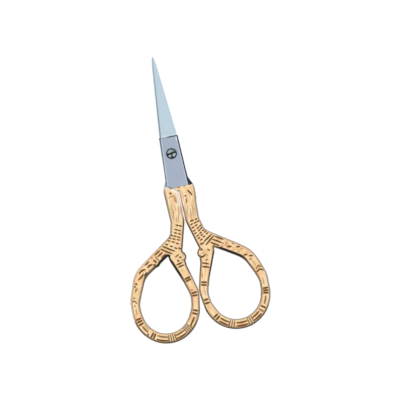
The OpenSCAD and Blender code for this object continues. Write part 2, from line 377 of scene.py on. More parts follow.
# %% [markdown]
# ## The true end
# A handle's end meets the steel heel, so its face stays flat and its outline true: these points are held
# while the rest is softened. The tongue, the thin wedge along the slanted shoulder, would keep the voxels'
# steps, so there only the last tenth of a millimetre is held.

# %% Points to soften
PLATING_Y = -12.0
MIDDLE = THICKNESS / 2
SHOULDER = (-4.15, -10.68)
SHOULDER_NORMAL = (0.558, 0.830)
TONGUE = (-0.06, 0.4)
HELD_END = 0.35
HELD_TIP = 0.1

def past_shoulder(x, y):
    """How far a place lies beyond the shoulder's slanted line, measured square to it."""
    return (x - SHOULDER[0]) * SHOULDER_NORMAL[0] + (y - SHOULDER[1]) * SHOULDER_NORMAL[1]


def free_points(points):
    """The numbers of the points that may be softened."""
    x, y, z = points.T
    seam = past_shoulder(np.where(z > MIDDLE, x, -x), y)
    tongue = (seam > TONGUE[0]) & (seam < TONGUE[1])
    held = (y > PLATING_Y - HELD_END) & ~tongue | (y > PLATING_Y - HELD_TIP)
    return np.flatnonzero(~held).tolist()


# %% Skin and soften
SKIN = 0.112
SOFTENING = 42
FLAT_END = 0.08

def soften(thing, taps):
    """Gives a handle an even skin with rounded edges, and keeps its end true where it meets the heels."""
    skin = thing.modifiers.new("skin", "REMESH")
    skin.mode = "VOXEL"
    skin.voxel_size = SKIN
    apply_modifiers(thing)
    points = read_points(thing)
    for place in taps:
        tap(points, *place)
    write_points(thing, points)
    free = thing.vertex_groups.new(name="free")
    free.add(free_points(points), 1.0, "REPLACE")
    ease = thing.modifiers.new("soften", "SMOOTH")
    ease.factor = 0.5
    ease.iterations = SOFTENING
    ease.vertex_group = "free"
    apply_modifiers(thing)
    points = read_points(thing)
    points[points[:, 1] > PLATING_Y - FLAT_END, 1] = PLATING_Y
    write_points(thing, points)
    thing.vertex_groups.clear()
    thing.data.shade_smooth()
    print(thing.name, len(thing.data.polygons) * 2, "triangles")


soften(right_handle, RIGHT_TAPS)
soften(left_handle, LEFT_TAPS)

# %% [markdown]
# ## Where the edge is
# Much of the finish depends on the way to the nearest edge: the painted shade in a crook, the tarnish and
# painted shade on a rim, the place of a bar across a band. A k-d tree of the points on the side walls answers
# that for each
# point of the skin: how far the outline is in plan, and which way the wall faces there. Beside the seam the
# two faces of a handle have different outlines, so each face has its own tree, of wall points on its side of
# the middle.

# %% Measure the edges
WALL_SLOPE = 0.3
WALL_LEVELS = (0.1, 0.5)

class Edges:
    """For each point of a handle, how far the outline is in plan, and where its wall stands and faces."""

    def __init__(self, thing):
        points, normals = read_points(thing), read_normals(thing)
        steep = np.abs(normals[:, 2]) < WALL_SLOPE
        self.away = np.zeros(len(points))
        self.facing, self.foot = (np.zeros((len(points), 2)) for _ in range(2))
        for face in (1, -1):
            level = (points[:, 2] - MIDDLE) * face
            wall = np.flatnonzero(steep & (level > WALL_LEVELS[0]) & (level < WALL_LEVELS[1]))
            tree = KDTree(len(wall))
            for place, index in enumerate(wall):
                tree.insert((*points[index, :2], 0), place)
            tree.balance()
            here = np.flatnonzero(level >= 0)
            found = [tree.find((x, y, 0)) for x, y in points[here, :2]]
            nearest = wall[[place for _, place, _ in found]]
            self.away[here] = [distance for _, _, distance in found]
            self.facing[here] = normals[nearest, :2]
            self.foot[here] = points[nearest, :2]
        # The walls of the last face, the back one, are enough to measure a bow.
        self.walls = points[wall, :2]


right_edges = Edges(right_handle)
left_edges = Edges(left_handle)
print(len(right_edges.walls), "points on the walls of the right handle")

# %% [markdown]
# ## The graver's strokes
# The ornament is cut with a graver: short strokes with pointed ends, dots, and bars across the bows. Each
# stroke is a line of points on the handle's face in millimetres, with its width and depth, and the skin sinks
# along it. Moving the skin's own points gives real grooves, which catch the light from every side, where a
# bump map would only paint them. Old lacquer fills a groove, more in a deep one than in a scratch, so each
# stroke also says how much of it there is.

# %% Strokes
GRAVER = 0.33
CUT = 0.16

def stroke(*points, width=GRAVER, depth=CUT, taper=0.4, lacquer=1.0):
    """A cut through the points. Its ends are narrower by the taper. A depth below 0 makes a ridge."""
    path = np.array(points, dtype=float)
    return {"path": path, "width": width, "depth": depth, "taper": taper, "lacquer": lacquer}


def dot(x, y, width=GRAVER, depth=CUT, lacquer=1.0):
    return stroke((x - 0.02, y), (x + 0.02, y), width=width, depth=depth, taper=0.0, lacquer=lacquer)


def dash(x, y, length, slope, width=0.30, lacquer=1.0):
    """A short cut centred on a point, which rises to the right by the slope in degrees."""
    reach = Vector((math.cos(math.radians(slope)), math.sin(math.radians(slope)))) * length / 2
    ends = (x - reach.x, y - reach.y), (x + reach.x, y + reach.y)
    return stroke(*ends, width=width, taper=0.3, lacquer=lacquer)


def scratch(*points, width=0.2, depth=0.04, lacquer=0.5):
    """A long faint line, like the barb of a feather."""
    return stroke(*points, width=width, depth=depth, taper=0.6, lacquer=lacquer)


# %% [markdown]
# ## From strokes to depth
# For each stroke, only the points of the skin inside a box round it are looked at. Each gets a nearness, 1 on
# the stroke's line and 0 at its width, where the graver's point leaves the metal. The groove's side is a
# smooth rise in nearness, and the lacquer spills a little past it.

# %% How near a stroke is
STROKE_BOX = 1.3
NO_LENGTH = 1e-6

def rise(low, high, values):
    """0 below low, 1 above high and a smooth rise between."""
    part = np.clip((values - low) / (high - low), 0, 1)
    return part * part * (3 - 2 * part)


def nearness(points, cut):
    """1 on the stroke's line and 0 at its width, for the points in its box, with their numbers."""
    path, width = cut["path"], cut["width"]
    low, high = path.min(axis=0) - width * STROKE_BOX, path.max(axis=0) + width * STROKE_BOX
    near = np.flatnonzero(((points > low) & (points < high)).all(axis=1))
    lengths = np.hypot(*np.diff(path, axis=0).T)
    total = max(lengths.sum(), NO_LENGTH)
    gone = 0.0
    best = np.full(len(near), -1.0)
    for start, end, length in zip(path, path[1:], lengths):
        along = (end - start) / max(length, NO_LENGTH)
        offset = points[near] - start
        part = np.clip(offset @ along, 0, length)
        away = np.hypot(*(offset - part[:, None] * along).T)
        middle = np.sin(np.pi * (gone + part) / total)
        best = np.maximum(best, 1 - away / (width * (1 - cut["taper"] * (1 - middle))))
        gone += length
    return near, best


# %% Depth, lacquer and wear
GROOVE_SIDE = (0.0, 0.6)
LACQUER_SIDE = (-0.2, 0.3)

def engrave(points, design):
    """How deep each point sinks, how much lacquer it holds and how bright it is worn."""
    depth, lacquer, worn, ridge = (np.zeros(len(points)) for _ in range(4))
    for cut in design:
        near, best = nearness(points, cut)
        share = rise(*GROOVE_SIDE, best)
        if cut["depth"] < 0:
            ridge[near] = np.maximum(ridge[near], -share * cut["depth"])
            worn[near] = np.maximum(worn[near], share)
        else:
            depth[near] = np.maximum(depth[near], share * cut["depth"])
            lacquer[near] = np.maximum(lacquer[near], rise(*LACQUER_SIDE, best) * cut["lacquer"])
    return depth - ridge, lacquer, worn


# %% [markdown]
# ## Bars and panels round a bow
# Round each bow the engraver repeats one scheme: short bars across the band, and between them panels of lines
# that follow it. Their places are given as points, but their direction and reach should come from the bow
# itself. So the band is measured first, by direction from the bow's centre, and bars and lines are laid out
# on it.

# %% Measure the band of a bow
DIRECTIONS = 72
SECTOR = 360 / DIRECTIONS
BOW_REACH = 16.5
USUAL_BAND = (9.0, 13.0)
LOOK_ASIDE = 0.06
LINE_STEPS = 6
RAISED = {"reach": 0.34, "width": 0.30, "depth": -0.04}
FINE_CUT = {"reach": 0.32, "width": 0.26, "depth": 0.05, "lacquer": 0.85}

class Bow:
    """The band of a finger bow: its inner and outer radius in every direction from its centre."""

    def __init__(self, walls, centre):
        self.centre = np.array(centre)
        offset = walls - self.centre
        radius = np.hypot(*offset.T)
        sector = (np.degrees(np.arctan2(offset[:, 1], offset[:, 0])) // SECTOR).astype(int) % DIRECTIONS
        band = [radius[(radius < BOW_REACH) & (sector == i)] for i in range(DIRECTIONS)]
        self.inner = np.array([part.min() if len(part) else USUAL_BAND[0] for part in band])
        self.outer = np.array([part.max() if len(part) else USUAL_BAND[1] for part in band])

    def angle(self, x, y):
        return math.atan2(y - self.centre[1], x - self.centre[0])

    def point(self, angle, share):
        """A point in a direction, at the inner edge for share 0 and at the outer edge for share 1."""
        place = (math.degrees(angle) / SECTOR - 0.5) % DIRECTIONS
        low, part = int(place), place % 1
        high = (low + 1) % DIRECTIONS
        inner = self.inner[low] * (1 - part) + self.inner[high] * part
        outer = self.outer[low] * (1 - part) + self.outer[high] * part
        radius = inner + (outer - inner) * share
        return self.centre + radius * np.array((math.cos(angle), math.sin(angle)))

    def bar(self, x, y, reach=0.21, width=0.39, depth=CUT, lacquer=1.0):
        """A bar square across the band at the place nearest to a point."""
        angle = self.angle(x, y)
        middle = self.point(angle, 0.5)
        along = self.point(angle + LOOK_ASIDE, 0.5) - self.point(angle - LOOK_ASIDE, 0.5)
        across = np.array((along[1], -along[0])) / np.hypot(*along)
        radial = self.point(angle, 1) - self.point(angle, 0)
        half = across * abs(radial @ across) * reach
        return stroke(middle - half, middle + half, width=width, depth=depth, taper=0.2, lacquer=lacquer)

    def bright_bars(self, x, y, count=3, pitch=0.8):
        """Raised bars that wear bright, with a fine cut on each side of them."""
        turn = pitch / np.hypot(*(np.array((x, y)) - self.centre))
        middle = self.angle(x, y)
        made = []
        for i in range(count):
            place = self.point(middle + (i - (count - 1) / 2) * turn, 0.5)
            made.append(self.bar(*place, **RAISED))
        for i in range(count + 1):
            place = self.point(middle + (i - count / 2) * turn, 0.5)
            made.append(self.bar(*place, **FINE_CUT))
        return made

    def line(self, start, end, share, width=0.36, lacquer=1.0):
        """A line that follows the band from one point to another, part of the way out."""
        first, last = self.angle(*start), self.angle(*end)
        turn = (last - first + math.pi) % (2 * math.pi) - math.pi
        path = (self.point(first + turn * i / LINE_STEPS, share) for i in range(LINE_STEPS + 1))
        return stroke(*path, width=width, taper=0.3, lacquer=lacquer)


right_bow = Bow(right_edges.walls, (12.6, -51.5))
left_bow = Bow(left_edges.walls, (-12.6, -51.5))
print("band of the right bow:", right_bow.inner[::12].round(1), right_bow.outer[::12].round(1))

# %% [markdown]
# ## The two designs
# The right handle shows one side of the forging and the left handle the other, so their ornament differs a
# little. From the heel down come a scroll, long feather lines, rows of short dashes at the fork, two bars,
# lines along the arm, a small curl on the head, leaves on the brow of the bow, and the bars and panels round
# it.

# %% Right handle's design
right_design = [
    stroke((-0.3, -12.1), (0.45, -12.15), width=0.34, depth=0.05, lacquer=0.9),
    stroke((2.0, -12.05), (2.4, -12.05), width=0.3, depth=0.05, lacquer=0.9),
    stroke((3.1, -13.8), (3.6, -14.6), (4.0, -15.2), (4.2, -15.9)),
    dot(1.9, -15.65, 0.36),
    stroke((2.05, -16.6), (1.95, -17.4), (1.75, -18.3), width=0.26, lacquer=0.8),
    scratch((3.4, -18.6), (3.6, -20.5), (3.3, -22.6), (3.2, -24.2), lacquer=0.6),
    scratch((2.7, -20.2), (2.6, -21.8), (2.3, -24.2), lacquer=0.6),
    scratch((2.0, -19.0), (1.5, -21.2), (1.6, -23.4)),
    scratch((1.2, -17.6), (1.0, -20.0), (1.1, -23.6), lacquer=0.35),
    scratch((4.2, -17.0), (4.2, -20.0), (4.1, -23.4), lacquer=0.35),
    scratch((0.9, -13.6), (1.0, -15.8), (1.2, -16.6), lacquer=0.35),
]
for x, y in (
    (2.1, -26.0), (2.3, -27.2), (2.5, -28.4), (2.8, -29.4), (3.4, -30.4), (3.7, -31.3), (4.4, -32.0),
    (4.0, -24.5), (3.4, -25.65), (3.6, -26.65), (4.0, -27.7), (4.3, -28.6), (4.6, -29.6), (4.9, -30.4),
    (5.6, -31.1), (4.5, -25.4), (5.0, -27.1), (5.2, -28.0), (5.8, -28.8), (6.3, -29.5), (6.9, -30.2),
):
    right_design.append(dash(x, y, 0.75, 25))
right_design += [
    dash(2.45, -24.75, 1.1, 10, 0.34),
    stroke((8.4, -30.8), (6.7, -31.9), (5.1, -33.0)),
    dash(4.35, -33.45, 1.2, 8, 0.34),
    stroke((9.1, -31.4), (7.3, -32.8), (5.7, -34.1)),
    stroke((9.4, -31.8), (10.7, -32.6), (12.0, -33.4)),
    stroke((8.3, -32.7), (9.8, -33.5), (11.2, -34.4)),
    stroke((7.5, -33.6), (8.6, -34.3), (9.4, -34.8), (10.2, -35.3)),
    dash(11.7, -34.8, 0.6, 0, 0.25, 0.6),
    scratch((13.4, -34.1), (13.0, -34.9), (12.3, -35.6), width=0.24, lacquer=0.6),
    scratch((14.8, -35.3), (15.6, -35.9), width=0.3, lacquer=0.7),
    stroke((12.9, -36.2), (13.6, -36.3), (14.3, -36.4), width=0.36),
    dash(16.8, -37.0, 1.1, 0, 0.34),
    scratch((17.4, -37.9), (18.2, -37.9), width=0.3),
    dash(18.75, -40.3, 1.0, 0, 0.34),
    dash(20.6, -41.0, 1.1, -14, 0.33),
    dash(20.2, -42.2, 0.6, 20, 0.3, 0.7),
    scratch((17.0, -38.4), (16.2, -38.9), width=0.3),
    scratch((20.7, -42.6), (21.3, -43.9), (21.6, -44.9), width=0.26),
    scratch((11.0, -35.3), (11.3, -35.9), width=0.3, lacquer=0.7),
]

# %% Right head
right_design += [
    dot(3.75, -35.45, 0.48),
    stroke((2.8, -37.4), (3.0, -37.95), (3.5, -38.1), (4.2, -37.85), (4.9, -37.4), width=0.34),
    scratch((2.6, -36.5), (3.3, -36.9), (4.2, -36.7), (4.8, -36.0), width=0.24, lacquer=0.4),
    stroke((6.0, -35.8), (6.3, -36.1), (6.5, -36.4), width=0.36, lacquer=0.8),
    stroke((4.5, -39.5), (5.2, -39.3), lacquer=0.8),
    scratch((5.2, -38.2), (5.6, -37.6), width=0.24),
    stroke((3.2, -40.3), (4.2, -40.5), (5.3, -41.0)),
    stroke((3.0, -41.5), (4.2, -41.8), (5.2, -42.2), width=0.36),
]

# %% Left handle's design
left_design = [
    dot(-3.1, -13.8, 0.4),
    scratch((-4.1, -15.6), (-3.3, -14.8), (-2.4, -14.9), (-1.7, -15.7), (-1.5, -17.6), width=0.24,
            lacquer=0.6),
    scratch((-2.2, -16.0), (-1.7, -17.4), width=0.3, lacquer=0.6),
    scratch((-3.5, -16.0), (-3.6, -18.6), (-3.5, -21.5), lacquer=0.45),
    scratch((-2.6, -18.2), (-2.5, -19.6), (-2.3, -20.4), lacquer=0.4),
    scratch((-1.4, -18.8), (-1.6, -21.2), (-2.1, -23.2), (-2.4, -24.4), lacquer=0.6),
    scratch((-3.3, -19.6), (-3.5, -21.4), (-3.6, -23.0), lacquer=0.6),
    scratch((-2.6, -22.4), (-2.9, -23.6), (-3.3, -24.6), lacquer=0.55),
    scratch((-4.2, -17.5), (-4.2, -20.5), (-4.0, -24.0), lacquer=0.35),
    scratch((-0.8, -14.4), (-1.0, -17.0), (-1.0, -19.6), lacquer=0.25),
]
for x, y in (
    (-3.05, -25.35), (-1.9, -25.8), (-3.7, -26.8), (-2.6, -27.3), (-4.15, -27.9), (-2.8, -28.5),
    (-5.7, -28.5), (-4.5, -29.0), (-3.3, -29.6), (-6.5, -29.3), (-5.1, -29.9), (-3.6, -30.5), (-7.0, -30.2),
    (-5.6, -30.9), (-4.2, -31.7), (-8.0, -31.3), (-6.5, -32.3), (-5.1, -33.2), (-3.7, -33.6),
):
    left_design.append(dash(x, y, 0.85, -28))
left_design += [
    stroke((-9.5, -31.7), (-7.6, -33.0), (-5.6, -34.2)),
    stroke((-10.4, -32.5), (-8.6, -33.8), (-6.8, -34.9)),
    stroke((-12.8, -34.2), (-11.8, -33.5), (-10.9, -33.0)),
    stroke((-11.9, -34.9), (-11.0, -34.4), (-10.0, -33.8)),
    stroke((-10.6, -35.6), (-9.8, -35.1), (-9.0, -34.6)),
    scratch((-12.9, -34.7), (-12.3, -35.6), (-11.7, -36.4), width=0.3, lacquer=0.8),
    stroke((-13.6, -35.9), (-13.1, -36.4), (-12.8, -36.9), width=0.36),
    scratch((-14.4, -35.0), (-13.9, -34.8), width=0.3, lacquer=0.7),
    stroke((-17.0, -37.0), (-16.2, -36.6), (-15.4, -36.0)),
    stroke((-16.1, -38.0), (-15.6, -37.6), (-15.0, -37.4), (-14.5, -37.4), width=0.4),
    scratch((-14.2, -37.5), (-13.2, -37.5), width=0.4, lacquer=0.9),
    stroke((-19.6, -39.5), (-18.8, -38.9), (-18.0, -38.6), (-17.3, -38.5), width=0.38),
    stroke((-20.2, -41.7), (-19.4, -41.2), (-18.7, -40.7), (-18.2, -40.0), width=0.36),
    stroke((-17.8, -40.7), (-17.3, -40.2), (-16.9, -39.8), width=0.4),
    stroke((-21.7, -42.9), (-21.0, -43.1)),
    dot(-22.0, -43.9, 0.38, lacquer=0.8),
    stroke((-22.1, -45.7), (-21.8, -45.1), (-21.3, -44.7), lacquer=0.75),
    stroke((-23.4, -47.8), (-22.7, -47.8), width=0.26, lacquer=0.7),
    stroke((-24.0, -49.2), (-23.4, -48.7), (-22.9, -49.1), (-22.4, -49.8), width=0.26, lacquer=0.8),
    dot(-23.3, -50.6, 0.28, lacquer=0.8),
]

# %% Left head
left_design += [
    stroke((-5.7, -36.2), (-5.1, -36.0), (-4.6, -35.6), lacquer=0.8),
    dot(-4.1, -36.75, 0.45, lacquer=0.9),
    stroke((-5.2, -37.6), (-4.9, -37.9), width=0.42),
    scratch((-4.2, -37.8), (-3.3, -37.8), width=0.26),
    scratch((-3.4, -35.2), (-2.9, -35.9), (-2.9, -36.8), width=0.24),
    stroke((-5.9, -39.1), (-4.9, -38.9), (-3.8, -38.6)),
    stroke((-5.4, -40.1), (-4.5, -39.8), (-3.4, -39.6)),
    scratch((-4.5, -40.6), (-4.3, -41.8), width=0.26, lacquer=0.4),
]

# %% Bars and panels of both bows
for x, y in (
    (2.3, -47.0), (2.2, -48.0), (2.1, -53.2), (2.1, -54.5), (4.2, -59.5), (4.9, -60.3), (21.4, -59.7),
    (23.1, -53.2), (23.1, -54.05), (23.0, -54.9),
):
    right_design.append(right_bow.bar(x, y))
right_design.append(right_bow.bar(20.3, -60.6, lacquer=0.7))
right_design += right_bow.bright_bars(9.3, -63.4, 2)
right_design += right_bow.bright_bars(16.0, -63.4, 2)
for start, end in (
    ((5.7, -60.9), (8.2, -62.9)),
    ((11.0, -63.8), (14.7, -63.8)),
    ((17.1, -63.0), (19.6, -61.2)),
):
    right_design += [right_bow.line(start, end, share) for share in (0.36, 0.68)]
right_design += [
    right_bow.line((23.1, -56.2), (22.2, -58.8), 0.5, lacquer=0.8),
    right_bow.line((22.9, -49.5), (23.0, -51.8), 0.4, width=0.2, lacquer=0.4),
    stroke((21.6, -45.9), (22.2, -45.2), (22.7, -45.0), (23.4, -45.5), width=0.3, lacquer=0.8),
    stroke((21.5, -47.1), (22.2, -46.6), (22.7, -46.3), (23.3, -46.5), (23.8, -46.9), taper=0.3),
    scratch((2.3, -43.5), (2.2, -45.8), width=0.24),
    scratch((2.2, -49.4), (2.1, -51.8), width=0.24, lacquer=0.4),
]
for x, y in (
    (-23.2, -55.5), (-23.1, -56.5), (-22.8, -57.6), (-19.4, -62.1), (-18.7, -62.7), (-2.2, -56.4),
    (-2.8, -57.4), (-2.0, -50.0), (-2.0, -51.0), (-2.8, -44.2), (-2.8, -45.2),
):
    left_design.append(left_bow.bar(x, y))
left_design += left_bow.bright_bars(-12.5, -64.2)
left_design += left_bow.bright_bars(-6.3, -62.3, pitch=0.7)
left_design += [
    left_bow.line((-17.6, -63.1), (-14.0, -64.2), 0.34, lacquer=0.85),
    left_bow.line((-17.6, -63.1), (-14.0, -64.2), 0.7),
    left_bow.line((-11.0, -64.0), (-7.6, -63.1), 0.34, lacquer=0.9),
    left_bow.line((-11.0, -64.0), (-7.6, -63.1), 0.68),
    left_bow.line((-5.0, -60.9), (-3.3, -58.7), 0.52),
    dot(-5.1, -61.1, 0.38),
    left_bow.line((-22.6, -58.9), (-21.0, -60.9), 0.5, lacquer=0.8),
    dot(-20.7, -61.4, 0.38),
    left_bow.line((-21.9, -58.4), (-20.4, -60.2), 0.25, width=0.22, lacquer=0.5),
    left_bow.line((-23.4, -51.6), (-23.5, -54.0), 0.5, width=0.22, lacquer=0.5),
    dot(-2.3, -48.9, 0.3, lacquer=0.8),
]
print(len(right_design), "and", len(left_design), "strokes")

# %% [markdown]
# ## Flat heads and true edges
# The softening leaves two places rounder than the real ones. The head has a flat face like the rest of the
# handle, and the edges beside the other handle, at the slit and the shoulder, were filed and stay crisp.
# Smoothing less would spoil the rest, so both are mended on the soft skin, before the engraving.

# %% Flatten the heads
HEAD = (3.7, -36.5)
HEAD_RADIUS = 1.8
HEAD_FALL = 1.25
HEAD_SQUARENESS = 9

def flatten_head(thing, side):
    """Gives the head a flat face like the rest of the handle's, where the softening left a ball."""
    points = read_points(thing)
    away = np.hypot(points[:, 0] - HEAD[0] * side, points[:, 1] - HEAD[1]) / HEAD_RADIUS
    fall = HEAD_FALL * np.clip(away, 0, 1) ** HEAD_SQUARENESS
    front = (away < 1) & (points[:, 2] > MIDDLE)
    back = (away < 1) & (points[:, 2] < MIDDLE)
    points[front, 2] = np.maximum(points[front, 2], THICKNESS - fall[front])
    points[back, 2] = np.minimum(points[back, 2], fall[back])
    write_points(thing, points)
    print(thing.name, "has", int(front.sum()), "points on its head's face")


flatten_head(right_handle, 1)
flatten_head(left_handle, -1)

# %% Sharpen the slit and the shoulder
SHARP_BELOW = PLATING_Y + 1.4
SOFT_AGAIN = (-21, -17)
TOWARD_SEAM = -0.3
EDGE_REACH = 0.3
KEPT_ROUND = 0.08
KEPT_FALL = 0.4
OFF_WALL = 0.25

def sharpen(thing, edges, side):
    """Makes the edges beside the other half true again, where the softening rounded them."""
    points, normals = read_points(thing), read_normals(thing)
    y = edges.foot[:, 1]
    share = ((edges.facing[:, 0] * side < TOWARD_SEAM) & (y < SHARP_BELOW)) * rise(*SOFT_AGAIN, y)
    face = np.sign(points[:, 2] - MIDDLE)
    level = np.abs(points[:, 2] - MIDDLE)
    outward = edges.away * np.clip(1 - edges.away / EDGE_REACH, 0, 1) * share * (level > WALL_LEVELS[1])
    points[:, :2] += edges.facing * outward[:, None]
    true_level = MIDDLE - KEPT_FALL * (1 - np.clip((edges.away - outward) / KEPT_ROUND, 0, 1)) ** 2
    share = share * (normals[:, 2] * face > OFF_WALL)
    points[:, 2] = MIDDLE + face * (level + np.clip(true_level - level, 0, None) * share)
    write_points(thing, points)
    print(thing.name, "sharpened by up to", outward.max().round(2), "mm")


sharpen(right_handle, right_edges, 1)
sharpen(left_handle, left_edges, -1)

# %% [markdown]
# ## Carving
# Both faces of a handle are engraved. The two halves come from one die and one of them is turned over, so the
# back of the right handle has the left handle's design in mirror image, and the other way round. The raised
# bars are left off the back, where they would lift the scissors off the table.

# %% Carve
FACE_SLOPE = (0.55, 0.85)

def mirrored(design):
    return [{**cut, "path": cut["path"] * (-1, 1)} for cut in design]


def mark(thing, name, values):
    """Keeps a number on each point for the materials."""
    attribute = thing.data.attributes.new(name, "FLOAT", "POINT")
    attribute.data.foreach_set("value", values.astype(np.float32))


def carve(thing, face_design, back_design):
    """Cuts both faces, and keeps the lacquer, the wear and the slope of the skin."""
    points, normals = read_points(thing), read_normals(thing)
    stains = np.zeros((2, len(points)))
    for design, side in ((face_design, 1), (mirrored(back_design), -1)):
        depth, *held = engrave(points[:, :2], design)
        face = rise(*FACE_SLOPE, normals[:, 2] * side)
        points[:, 2] -= side * (depth if side > 0 else np.maximum(depth, 0)) * face
        stains = np.maximum(stains, np.array(held) * face)
    write_points(thing, points)
    mark(thing, "lacquer", stains[0])
    mark(thing, "worn", stains[1])
    mark(thing, "slope", 1 - np.abs(normals[:, 2]))
    print(thing.name, "has lacquer on", int((stains[0] > 0.5).sum()), "points")


carve(right_handle, right_design, left_design)
carve(left_handle, left_design, right_design)

# %% [markdown]
# ## Which part of the outline is near
# The finish isn't the same all round. A bow's hole, the gap between the handles, the slit between the shanks,
# the slanted shoulder and the seam above it each get their own bands of tarnish and of painted light and
# shade. They could be painted by hand, but where the nearest wall stands and how it faces already tells them
# apart.

# %% Parts of the outline
HOLE_REACH = 17.5
GAP_FACING = -0.35
SHOULDER_RISE = 0.6
SHOULDER_FOOT = -14.5
SHOULDER_TIP = (2.0, 3.3)
SLIT_TOP = -13.4
SLIT_FOOT = -23

class Outline:
    """For each point of a handle, which part of the outline is nearest, and how it faces in the picture."""

    def __init__(self, thing, edges, side, centre):
        facing, foot = edges.facing, edges.foot
        self.edges, self.side = edges, side
        self.x, self.y = foot.T
        self.up = facing @ np.array(picture_up.xy)
        self.right = facing @ np.array(picture_right.xy)
        self.level = read_points(thing)[:, 2] - MIDDLE
        to_centre = np.array(centre) - foot
        self.hole = ((to_centre * facing).sum(axis=1) > 0) & (np.hypot(*to_centre.T) < HOLE_REACH)
        self.gap = ~self.hole & (facing[:, 0] * side < GAP_FACING)
        out = self.x * side
        tip = (self.level * side < 0) & (out > SHOULDER_TIP[0]) & (out < SHOULDER_TIP[1])
        upward = (facing[:, 1] > SHOULDER_RISE) & (self.y > SHOULDER_FOOT)
        self.shoulder = upward & ((facing[:, 0] * side < TOWARD_SEAM) | tip)
        self.slit = self.gap & ~self.shoulder & (self.y > SLIT_FOOT) & (self.y < SLIT_TOP)
        self.seam = self.gap & (self.y > SLIT_TOP)


right_outline = Outline(right_handle, right_edges, 1, right_bow.centre)
left_outline = Outline(left_handle, left_edges, -1, left_bow.centre)
print(int(right_outline.hole.sum()), "points of the right handle are nearest to its hole")

# %% [markdown]
# ## Painted shade, tarnish and painted highlights along the edges
# A black band of painted shade lies in the crook under an arm, along the foot of the bows and in the fork,
# widest where the wall faces the bottom of the picture. Rims tarnish to an olive grey, widened by painted
# shade where the wall faces the right of the picture. The slit between the shanks has a painted reddish
# shadow on the right handle's side. A painted cream highlight lies on the left handle's side of it, on the
# shoulder and on the seam. Each of these is a band along the outline, and a number on each point says how
# much of it is there.

# %% Painted shade under the edges
RIGHT_FORK = (8.3, -35.2)
FORK_THIN = (0.3, 2.6)
CROOK = (-51, -42)
BROW = (17.0, 21.0)
GAP_FOOT = (-44, -42)
GAP_TOP = (-25, -22)
BOW_FOOT = -56
FADE_LEFT = (11.5, 15.0)
FADE_RIGHT = (16.0, 20.0)
WIDE = 0.46

def band(edges, width, soft=0.16):
    """1 within a width of the outline and 0 beyond. Where the width is 0, there is no band."""
    return (1 - rise(width - soft * 0.7, width + soft * 0.3, edges.away)) * (width > 0.05)


def painted_shade_band(outline):
    """Painted shade: dark in the crook, along the foot of the bows and in the fork, and fainter halfway down
    a wall.
    """
    x, y, hole = outline.x, outline.y, outline.hole
    high = rise(*CROOK, y)
    slender = 1 - 0.8 * rise(*BROW, x * outline.side)
    off_fork = rise(*FORK_THIN, np.hypot(x - RIGHT_FORK[0], y - RIGHT_FORK[1]))
    overhang = 0.38 + WIDE * rise(0.1, 0.7, -outline.up)
    crook = hole * (0.2 + high * overhang * slender * off_fork) * (high > 0.01)
    foot = ~hole * WIDE * rise(0.15, 0.5, -outline.up) * (y < BOW_FOOT)
    fork = outline.gap * WIDE * rise(*GAP_FOOT, y) * (1 - rise(*GAP_TOP, y))
    faded = rise(*FADE_LEFT, -x) + rise(*FADE_RIGHT, x)
    in_hole = (0.3 + 0.7 * high) * (1 - 0.35 * faded) * (0.6 + 0.4 * off_fork)
    thick = np.where(hole, in_hole, np.where(fork > 0, 0.8, 0.9))
    thick = thick * (0.35 + 0.65 * rise(0.6, 1.2, np.abs(outline.level)))
    return band(outline.edges, np.maximum.reduce([crook, foot, fork])) * thick


# %% Tarnish with painted shade, a painted shadow and painted highlights
def tarnish_and_shade_rim(outline):
    """Olive tarnish on the rims, broader with painted shade where the wall faces the right of the picture,
    and absent at the slit, the shoulder and the handle's end.
    """
    hole, y = outline.hole, outline.y
    rim = ~hole * (0.16 + 0.34 * rise(-0.4, 0.2, outline.right))
    rim = np.where(~hole & ~outline.gap & (y > -32), 0.42, rim)
    rim = np.where(hole, 0.34, rim)
    rim = np.where(outline.slit | outline.shoulder | (y > PLATING_Y - HELD_TIP), 0.0, rim)
    return band(outline.edges, rim)


def slit_shadow_band(outline):
    """A painted reddish shadow along the right handle's side of the slit."""
    return band(outline.edges, outline.slit * 0.42 * (outline.side > 0))


def painted_highlight_band(outline):
    """A painted cream highlight on the shoulder, the seam, and the left handle's side of the slit."""
    width = outline.shoulder * 0.85 + outline.seam * 0.3 + outline.slit * 0.75 * (outline.side < 0)
    return band(outline.edges, width, 0.5)


# %% Keep the bands on the handles
for thing, outline in ((right_handle, right_outline), (left_handle, left_outline)):
    mark(thing, "soot", painted_shade_band(outline))
    mark(thing, "tarnish", tarnish_and_shade_rim(outline))
    mark(thing, "copper", slit_shadow_band(outline))
    mark(thing, "inset", outline.edges.away)
    mark(thing, "polish", painted_highlight_band(outline))
    kept = [attribute.name for attribute in thing.data.attributes if attribute.data_type == "FLOAT"]
    print(thing.name, "has the attributes", kept)

# %% [markdown]
# ## Patterns for the materials
# A pattern that belongs to the metal is read from Object coordinates, so it stays put when the piece moves.
# Noise gives patches and grain, and stretched noise gives lines. A band of the last steps is read from its
# attribute.

# %% Pattern nodes
def surface_noise(maker, size, detail=3.0, stretch=None):
    """Noise whose patches are about `size` millimetres wide, from 0 to 1."""
    place = maker.node("ShaderNodeTexCoord", output="Object")
    if stretch:
        place = maker.node("ShaderNodeMapping", inputs={"Vector": place, "Scale": stretch})
    inputs = {"Vector": place, "Scale": 1 / (size * MM), "Detail": detail}
    return maker.node("ShaderNodeTexNoise", inputs=inputs)


def attribute(maker, name):
    return maker.node("ShaderNodeAttribute", {"attribute_name": name}, output="Fac")


def axes(maker):
    """The Object coordinates as three sockets."""
    place = maker.node("ShaderNodeTexCoord", output="Object")
    parts = maker.tree.nodes.new("ShaderNodeSeparateXYZ")
    maker.tree.links.new(place.socket, parts.inputs[0])
    return (SocketMaths(maker.tree, parts.outputs[name]) for name in "XYZ")


